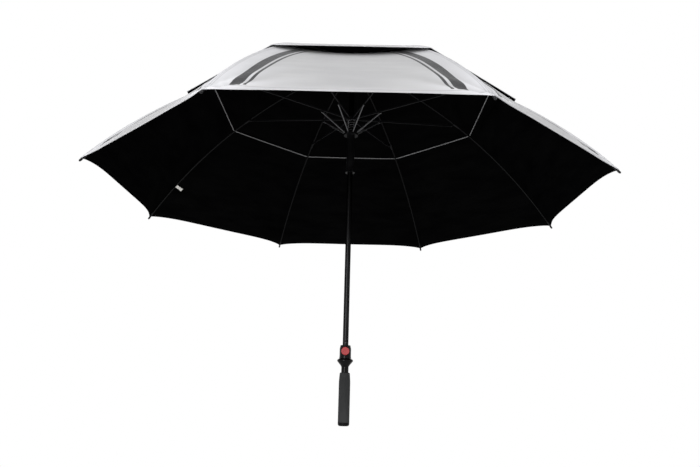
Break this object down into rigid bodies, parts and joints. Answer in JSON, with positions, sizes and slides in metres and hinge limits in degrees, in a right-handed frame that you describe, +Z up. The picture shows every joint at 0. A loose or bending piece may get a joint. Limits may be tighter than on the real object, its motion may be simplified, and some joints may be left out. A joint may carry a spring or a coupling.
{
  "type": "golf umbrella",
  "caption": "Automatic golf umbrella with a vented two-tier canopy, hinged ribs, stretchers and struts on sliding runners, a sprung release button and a straight grip.",
  "frame": {"origin": "centre of the grip's end face, on the axis of the shaft", "axes": "+Z up along the shaft to the top cap, -Y out of the release button, umbrella open"},
  "size_m": [1.2852, 1.2852, 1.059],
  "materials": {
    "shaft": "gloss",
    "frame_plastic": "gloss",
    "rib": "satin",
    "stretcher": "satin",
    "strut": "brushed",
    "spring": "satin",
    "canopy": "silver-coated outside, black inside",
    "button": "gloss",
    "grip": "matte",
    "end_cap": "matte"
  },
  "bodies": {
    "shaft": {"shaft": "shaft", "top_cap": "frame_plastic", "crown": "frame_plastic", "button_housing": "frame_plastic", "button_spring": "spring", "guard_collar": "frame_plastic", "grip": "grip", "grip_end_cap": "end_cap"},
    "lower_runner": {"lower_runner": "frame_plastic"},
    "upper_runner": {"upper_runner": "frame_plastic", "opening_spring": "spring"},
    "release_button": {"release_button": "button"},
    "rib_inner_1": {"rib_inner_1": "rib"},
    "rib_outer_1": {"rib_outer_1": "rib"},
    "stretcher_1": {"stretcher_1": "stretcher"},
    "strut_1": {"strut_1": "strut"},
    "canopy_upper_1": {"canopy_upper_1": "canopy"},
    "canopy_lower_1": {"canopy_lower_1": "canopy"},
    "rib_inner_2": {"rib_inner_2": "rib"},
    "rib_outer_2": {"rib_outer_2": "rib"},
    "stretcher_2": {"stretcher_2": "stretcher"},
    "strut_2": {"strut_2": "strut"},
    "canopy_upper_2": {"canopy_upper_2": "canopy"},
    "canopy_lower_2": {"canopy_lower_2": "canopy"},
    "rib_inner_3": {"rib_inner_3": "rib"},
    "rib_outer_3": {"rib_outer_3": "rib"},
    "stretcher_3": {"stretcher_3": "stretcher"},
    "strut_3": {"strut_3": "strut"},
    "canopy_upper_3": {"canopy_upper_3": "canopy"},
    "canopy_lower_3": {"canopy_lower_3": "canopy"},
    "rib_inner_4": {"rib_inner_4": "rib"},
    "rib_outer_4": {"rib_outer_4": "rib"},
    "stretcher_4": {"stretcher_4": "stretcher"},
    "strut_4": {"strut_4": "strut"},
    "canopy_upper_4": {"canopy_upper_4": "canopy"},
    "canopy_lower_4": {"canopy_lower_4": "canopy"},
    "rib_inner_5": {"rib_inner_5": "rib"},
    "rib_outer_5": {"rib_outer_5": "rib"},
    "stretcher_5": {"stretcher_5": "stretcher"},
    "strut_5": {"strut_5": "strut"},
    "canopy_upper_5": {"canopy_upper_5": "canopy"},
    "canopy_lower_5": {"canopy_lower_5": "canopy"},
    "rib_inner_6": {"rib_inner_6": "rib"},
    "rib_outer_6": {"rib_outer_6": "rib"},
    "stretcher_6": {"stretcher_6": "stretcher"},
    "strut_6": {"strut_6": "strut"},
    "canopy_upper_6": {"canopy_upper_6": "canopy"},
    "canopy_lower_6": {"canopy_lower_6": "canopy"},
    "rib_inner_7": {"rib_inner_7": "rib"},
    "rib_outer_7": {"rib_outer_7": "rib"},
    "stretcher_7": {"stretcher_7": "stretcher"},
    "strut_7": {"strut_7": "strut"},
    "canopy_upper_7": {"canopy_upper_7": "canopy"},
    "canopy_lower_7": {"canopy_lower_7": "canopy"},
    "rib_inner_8": {"rib_inner_8": "rib"},
    "rib_outer_8": {"rib_outer_8": "rib"},
    "stretcher_8": {"stretcher_8": "stretcher"},
    "strut_8": {"strut_8": "strut"},
    "canopy_upper_8": {"canopy_upper_8": "canopy"},
    "canopy_lower_8": {"canopy_lower_8": "canopy"}
  },
  "joints": [
    {"name": "runner_slide", "type": "slide", "parent": "shaft", "child": "lower_runner", "axis": [0, 0, -1], "range_m": [0, 0.47157], "stiffness_N_per_m": 60, "springref_m": -0.15, "deforming": ["canopy_upper_1", "canopy_upper_2", "canopy_upper_3", "canopy_upper_4", "canopy_upper_5", "canopy_upper_6", "canopy_upper_7", "canopy_upper_8", "canopy_lower_1", "canopy_lower_2", "canopy_lower_3", "canopy_lower_4", "canopy_lower_5", "canopy_lower_6", "canopy_lower_7", "canopy_lower_8", "opening_spring"]},
    {"name": "upper_runner_slide", "type": "slide", "parent": "shaft", "child": "upper_runner", "axis": [0, 0, -1], "range_m": [0, 0.50587]},
    {"name": "rib_hinge_1", "type": "hinge", "parent": "shaft", "child": "rib_inner_1", "pos_m": [0.00478, -0.01155, 1.011], "axis": [0.9239, 0.3827, 0], "range_deg": [0, 68.44]},
    {"name": "rib_bracket_1", "type": "hinge", "parent": "rib_inner_1", "child": "rib_outer_1", "pos_m": [0.12935, -0.31227, 0.89148], "axis": [-0.9239, -0.3827, 0], "range_deg": [0, 17.22]},
    {"name": "stretcher_hinge_1", "type": "hinge", "parent": "upper_runner", "child": "stretcher_1", "pos_m": [0.0044, -0.01062, 0.843], "axis": [-0.9239, -0.3827, 0], "range_deg": [0, 82.08]},
    {"name": "strut_hinge_1", "type": "hinge", "parent": "stretcher_1", "child": "strut_1", "pos_m": [0.03387, -0.08176, 0.84804], "axis": [0.9239, 0.3827, 0], "range_deg": [0, 27.29]},
    {"name": "canopy_upper_fold_1", "type": "hinge", "parent": "shaft", "child": "canopy_upper_1", "pos_m": [0.00653, -0.00653, 1.01525], "axis": [0.7071, 0.7071, 0], "range_deg": [0, 60.93]},
    {"name": "canopy_lower_fold_1", "type": "hinge", "parent": "shaft", "child": "canopy_lower_1", "pos_m": [-0.07105, 0.07105, 1.09228], "axis": [0.7071, 0.7071, 0], "range_deg": [0, 48.93]},
    {"name": "rib_hinge_2", "type": "hinge", "parent": "shaft", "child": "rib_inner_2", "pos_m": [0.01155, -0.00478, 1.011], "axis": [0.3827, 0.9239, 0], "range_deg": [0, 68.44]},
    {"name": "rib_bracket_2", "type": "hinge", "parent": "rib_inner_2", "child": "rib_outer_2", "pos_m": [0.31227, -0.12935, 0.89148], "axis": [-0.3827, -0.9239, 0], "range_deg": [0, 17.22]},
    {"name": "stretcher_hinge_2", "type": "hinge", "parent": "upper_runner", "child": "stretcher_2", "pos_m": [0.01062, -0.0044, 0.843], "axis": [-0.3827, -0.9239, 0], "range_deg": [0, 82.08]},
    {"name": "strut_hinge_2", "type": "hinge", "parent": "stretcher_2", "child": "strut_2", "pos_m": [0.08176, -0.03387, 0.84804], "axis": [0.3827, 0.9239, 0], "range_deg": [0, 27.29]},
    {"name": "canopy_upper_fold_2", "type": "hinge", "parent": "shaft", "child": "canopy_upper_2", "pos_m": [0.00924, 0, 1.01525], "axis": [0, 1, 0], "range_deg": [0, 60.93]},
    {"name": "canopy_lower_fold_2", "type": "hinge", "parent": "shaft", "child": "canopy_lower_2", "pos_m": [-0.10048, 0, 1.09228], "axis": [0, 1, 0], "range_deg": [0, 48.93]},
    {"name": "rib_hinge_3", "type": "hinge", "parent": "shaft", "child": "rib_inner_3", "pos_m": [0.01155, 0.00478, 1.011], "axis": [-0.3827, 0.9239, 0], "range_deg": [0, 68.44]},
    {"name": "rib_bracket_3", "type": "hinge", "parent": "rib_inner_3", "child": "rib_outer_3", "pos_m": [0.31227, 0.12935, 0.89148], "axis": [0.3827, -0.9239, 0], "range_deg": [0, 17.22]},
    {"name": "stretcher_hinge_3", "type": "hinge", "parent": "upper_runner", "child": "stretcher_3", "pos_m": [0.01062, 0.0044, 0.843], "axis": [0.3827, -0.9239, 0], "range_deg": [0, 82.08]},
    {"name": "strut_hinge_3", "type": "hinge", "parent": "stretcher_3", "child": "strut_3", "pos_m": [0.08176, 0.03387, 0.84804], "axis": [-0.3827, 0.9239, 0], "range_deg": [0, 27.29]},
    {"name": "canopy_upper_fold_3", "type": "hinge", "parent": "shaft", "child": "canopy_upper_3", "pos_m": [0.00653, 0.00653, 1.01525], "axis": [-0.7071, 0.7071, 0], "range_deg": [0, 60.93]},
    {"name": "canopy_lower_fold_3", "type": "hinge", "parent": "shaft", "child": "canopy_lower_3", "pos_m": [-0.07105, -0.07105, 1.09228], "axis": [-0.7071, 0.7071, 0], "range_deg": [0, 48.93]},
    {"name": "rib_hinge_4", "type": "hinge", "parent": "shaft", "child": "rib_inner_4", "pos_m": [0.00478, 0.01155, 1.011], "axis": [-0.9239, 0.3827, 0], "range_deg": [0, 68.44]},
    {"name": "rib_bracket_4", "type": "hinge", "parent": "rib_inner_4", "child": "rib_outer_4", "pos_m": [0.12935, 0.31227, 0.89148], "axis": [0.9239, -0.3827, 0], "range_deg": [0, 17.22]},
    {"name": "stretcher_hinge_4", "type": "hinge", "parent": "upper_runner", "child": "stretcher_4", "pos_m": [0.0044, 0.01062, 0.843], "axis": [0.9239, -0.3827, 0], "range_deg": [0, 82.08]},
    {"name": "strut_hinge_4", "type": "hinge", "parent": "stretcher_4", "child": "strut_4", "pos_m": [0.03387, 0.08176, 0.84804], "axis": [-0.9239, 0.3827, 0], "range_deg": [0, 27.29]},
    {"name": "canopy_upper_fold_4", "type": "hinge", "parent": "shaft", "child": "canopy_upper_4", "pos_m": [0, 0.00924, 1.01525], "axis": [-1, 0, 0], "range_deg": [0, 60.93]},
    {"name": "canopy_lower_fold_4", "type": "hinge", "parent": "shaft", "child": "canopy_lower_4", "pos_m": [0, -0.10048, 1.09228], "axis": [-1, 0, 0], "range_deg": [0, 48.93]},
    {"name": "rib_hinge_5", "type": "hinge", "parent": "shaft", "child": "rib_inner_5", "pos_m": [-0.00478, 0.01155, 1.011], "axis": [-0.9239, -0.3827, 0], "range_deg": [0, 68.44]},
    {"name": "rib_bracket_5", "type": "hinge", "parent": "rib_inner_5", "child": "rib_outer_5", "pos_m": [-0.12935, 0.31227, 0.89148], "axis": [0.9239, 0.3827, 0], "range_deg": [0, 17.22]},
    {"name": "stretcher_hinge_5", "type": "hinge", "parent": "upper_runner", "child": "stretcher_5", "pos_m": [-0.0044, 0.01062, 0.843], "axis": [0.9239, 0.3827, 0], "range_deg": [0, 82.08]},
    {"name": "strut_hinge_5", "type": "hinge", "parent": "stretcher_5", "child": "strut_5", "pos_m": [-0.03387, 0.08176, 0.84804], "axis": [-0.9239, -0.3827, 0], "range_deg": [0, 27.29]},
    {"name": "canopy_upper_fold_5", "type": "hinge", "parent": "shaft", "child": "canopy_upper_5", "pos_m": [-0.00653, 0.00653, 1.01525], "axis": [-0.7071, -0.7071, 0], "range_deg": [0, 60.93]},
    {"name": "canopy_lower_fold_5", "type": "hinge", "parent": "shaft", "child": "canopy_lower_5", "pos_m": [0.07105, -0.07105, 1.09228], "axis": [-0.7071, -0.7071, 0], "range_deg": [0, 48.93]},
    {"name": "rib_hinge_6", "type": "hinge", "parent": "shaft", "child": "rib_inner_6", "pos_m": [-0.01155, 0.00478, 1.011], "axis": [-0.3827, -0.9239, 0], "range_deg": [0, 68.44]},
    {"name": "rib_bracket_6", "type": "hinge", "parent": "rib_inner_6", "child": "rib_outer_6", "pos_m": [-0.31227, 0.12935, 0.89148], "axis": [0.3827, 0.9239, 0], "range_deg": [0, 17.22]},
    {"name": "stretcher_hinge_6", "type": "hinge", "parent": "upper_runner", "child": "stretcher_6", "pos_m": [-0.01062, 0.0044, 0.843], "axis": [0.3827, 0.9239, 0], "range_deg": [0, 82.08]},
    {"name": "strut_hinge_6", "type": "hinge", "parent": "stretcher_6", "child": "strut_6", "pos_m": [-0.08176, 0.03387, 0.84804], "axis": [-0.3827, -0.9239, 0], "range_deg": [0, 27.29]},
    {"name": "canopy_upper_fold_6", "type": "hinge", "parent": "shaft", "child": "canopy_upper_6", "pos_m": [-0.00924, 0, 1.01525], "axis": [0, -1, 0], "range_deg": [0, 60.93]},
    {"name": "canopy_lower_fold_6", "type": "hinge", "parent": "shaft", "child": "canopy_lower_6", "pos_m": [0.10048, 0, 1.09228], "axis": [0, -1, 0], "range_deg": [0, 48.93]},
    {"name": "rib_hinge_7", "type": "hinge", "parent": "shaft", "child": "rib_inner_7", "pos_m": [-0.01155, -0.00478, 1.011], "axis": [0.3827, -0.9239, 0], "range_deg": [0, 68.44]},
    {"name": "rib_bracket_7", "type": "hinge", "parent": "rib_inner_7", "child": "rib_outer_7", "pos_m": [-0.31227, -0.12935, 0.89148], "axis": [-0.3827, 0.9239, 0], "range_deg": [0, 17.22]},
    {"name": "stretcher_hinge_7", "type": "hinge", "parent": "upper_runner", "child": "stretcher_7", "pos_m": [-0.01062, -0.0044, 0.843], "axis": [-0.3827, 0.9239, 0], "range_deg": [0, 82.08]},
    {"name": "strut_hinge_7", "type": "hinge", "parent": "stretcher_7", "child": "strut_7", "pos_m": [-0.08176, -0.03387, 0.84804], "axis": [0.3827, -0.9239, 0], "range_deg": [0, 27.29]},
    {"name": "canopy_upper_fold_7", "type": "hinge", "parent": "shaft", "child": "canopy_upper_7", "pos_m": [-0.00653, -0.00653, 1.01525], "axis": [0.7071, -0.7071, 0], "range_deg": [0, 60.93]},
    {"name": "canopy_lower_fold_7", "type": "hinge", "parent": "shaft", "child": "canopy_lower_7", "pos_m": [0.07105, 0.07105, 1.09228], "axis": [0.7071, -0.7071, 0], "range_deg": [0, 48.93]},
    {"name": "rib_hinge_8", "type": "hinge", "parent": "shaft", "child": "rib_inner_8", "pos_m": [-0.00478, -0.01155, 1.011], "axis": [0.9239, -0.3827, 0], "range_deg": [0, 68.44]},
    {"name": "rib_bracket_8", "type": "hinge", "parent": "rib_inner_8", "child": "rib_outer_8", "pos_m": [-0.12935, -0.31227, 0.89148], "axis": [-0.9239, 0.3827, 0], "range_deg": [0, 17.22]},
    {"name": "stretcher_hinge_8", "type": "hinge", "parent": "upper_runner", "child": "stretcher_8", "pos_m": [-0.0044, -0.01062, 0.843], "axis": [-0.9239, 0.3827, 0], "range_deg": [0, 82.08]},
    {"name": "strut_hinge_8", "type": "hinge", "parent": "stretcher_8", "child": "strut_8", "pos_m": [-0.03387, -0.08176, 0.84804], "axis": [0.9239, -0.3827, 0], "range_deg": [0, 27.29]},
    {"name": "canopy_upper_fold_8", "type": "hinge", "parent": "shaft", "child": "canopy_upper_8", "pos_m": [0, -0.00924, 1.01525], "axis": [1, 0, 0], "range_deg": [0, 60.93]},
    {"name": "canopy_lower_fold_8", "type": "hinge", "parent": "shaft", "child": "canopy_lower_8", "pos_m": [0, 0.10048, 1.09228], "axis": [1, 0, 0], "range_deg": [0, 48.93]},
    {"name": "button_press", "type": "slide", "parent": "shaft", "child": "release_button", "axis": [0, 1, 0], "range_m": [0, 0.003], "stiffness_N_per_m": 500, "springref_m": -0.004, "deforming": ["button_spring"]}
  ],
  "couplings": [
    {"joint": "upper_runner_slide", "follows": "runner_slide", "ratio": 1.0727},
    {"joint": "rib_hinge_1", "follows": "runner_slide", "rad_per_m": 2.5328},
    {"joint": "rib_bracket_1", "follows": "runner_slide", "rad_per_m": 0.63722},
    {"joint": "stretcher_hinge_1", "follows": "runner_slide", "rad_per_m": 3.0379},
    {"joint": "strut_hinge_1", "follows": "runner_slide", "rad_per_m": 1.0098},
    {"joint": "canopy_upper_fold_1", "follows": "runner_slide", "rad_per_m": 2.255},
    {"joint": "canopy_lower_fold_1", "follows": "runner_slide", "rad_per_m": 1.811},
    {"joint": "rib_hinge_2", "follows": "runner_slide", "rad_per_m": 2.5328},
    {"joint": "rib_bracket_2", "follows": "runner_slide", "rad_per_m": 0.63722},
    {"joint": "stretcher_hinge_2", "follows": "runner_slide", "rad_per_m": 3.0379},
    {"joint": "strut_hinge_2", "follows": "runner_slide", "rad_per_m": 1.0098},
    {"joint": "canopy_upper_fold_2", "follows": "runner_slide", "rad_per_m": 2.255},
    {"joint": "canopy_lower_fold_2", "follows": "runner_slide", "rad_per_m": 1.811},
    {"joint": "rib_hinge_3", "follows": "runner_slide", "rad_per_m": 2.5328},
    {"joint": "rib_bracket_3", "follows": "runner_slide", "rad_per_m": 0.63722},
    {"joint": "stretcher_hinge_3", "follows": "runner_slide", "rad_per_m": 3.0379},
    {"joint": "strut_hinge_3", "follows": "runner_slide", "rad_per_m": 1.0098},
    {"joint": "canopy_upper_fold_3", "follows": "runner_slide", "rad_per_m": 2.255},
    {"joint": "canopy_lower_fold_3", "follows": "runner_slide", "rad_per_m": 1.811},
    {"joint": "rib_hinge_4", "follows": "runner_slide", "rad_per_m": 2.5328},
    {"joint": "rib_bracket_4", "follows": "runner_slide", "rad_per_m": 0.63722},
    {"joint": "stretcher_hinge_4", "follows": "runner_slide", "rad_per_m": 3.0379},
    {"joint": "strut_hinge_4", "follows": "runner_slide", "rad_per_m": 1.0098},
    {"joint": "canopy_upper_fold_4", "follows": "runner_slide", "rad_per_m": 2.255},
    {"joint": "canopy_lower_fold_4", "follows": "runner_slide", "rad_per_m": 1.811},
    {"joint": "rib_hinge_5", "follows": "runner_slide", "rad_per_m": 2.5328},
    {"joint": "rib_bracket_5", "follows": "runner_slide", "rad_per_m": 0.63722},
    {"joint": "stretcher_hinge_5", "follows": "runner_slide", "rad_per_m": 3.0379},
    {"joint": "strut_hinge_5", "follows": "runner_slide", "rad_per_m": 1.0098},
    {"joint": "canopy_upper_fold_5", "follows": "runner_slide", "rad_per_m": 2.255},
    {"joint": "canopy_lower_fold_5", "follows": "runner_slide", "rad_per_m": 1.811},
    {"joint": "rib_hinge_6", "follows": "runner_slide", "rad_per_m": 2.5328},
    {"joint": "rib_bracket_6", "follows": "runner_slide", "rad_per_m": 0.63722},
    {"joint": "stretcher_hinge_6", "follows": "runner_slide", "rad_per_m": 3.0379},
    {"joint": "strut_hinge_6", "follows": "runner_slide", "rad_per_m": 1.0098},
    {"joint": "canopy_upper_fold_6", "follows": "runner_slide", "rad_per_m": 2.255},
    {"joint": "canopy_lower_fold_6", "follows": "runner_slide", "rad_per_m": 1.811},
    {"joint": "rib_hinge_7", "follows": "runner_slide", "rad_per_m": 2.5328},
    {"joint": "rib_bracket_7", "follows": "runner_slide", "rad_per_m": 0.63722},
    {"joint": "stretcher_hinge_7", "follows": "runner_slide", "rad_per_m": 3.0379},
    {"joint": "strut_hinge_7", "follows": "runner_slide", "rad_per_m": 1.0098},
    {"joint": "canopy_upper_fold_7", "follows": "runner_slide", "rad_per_m": 2.255},
    {"joint": "canopy_lower_fold_7", "follows": "runner_slide", "rad_per_m": 1.811},
    {"joint": "rib_hinge_8", "follows": "runner_slide", "rad_per_m": 2.5328},
    {"joint": "rib_bracket_8", "follows": "runner_slide", "rad_per_m": 0.63722},
    {"joint": "stretcher_hinge_8", "follows": "runner_slide", "rad_per_m": 3.0379},
    {"joint": "strut_hinge_8", "follows": "runner_slide", "rad_per_m": 1.0098},
    {"joint": "canopy_upper_fold_8", "follows": "runner_slide", "rad_per_m": 2.255},
    {"joint": "canopy_lower_fold_8", "follows": "runner_slide", "rad_per_m": 1.811}
  ]
}
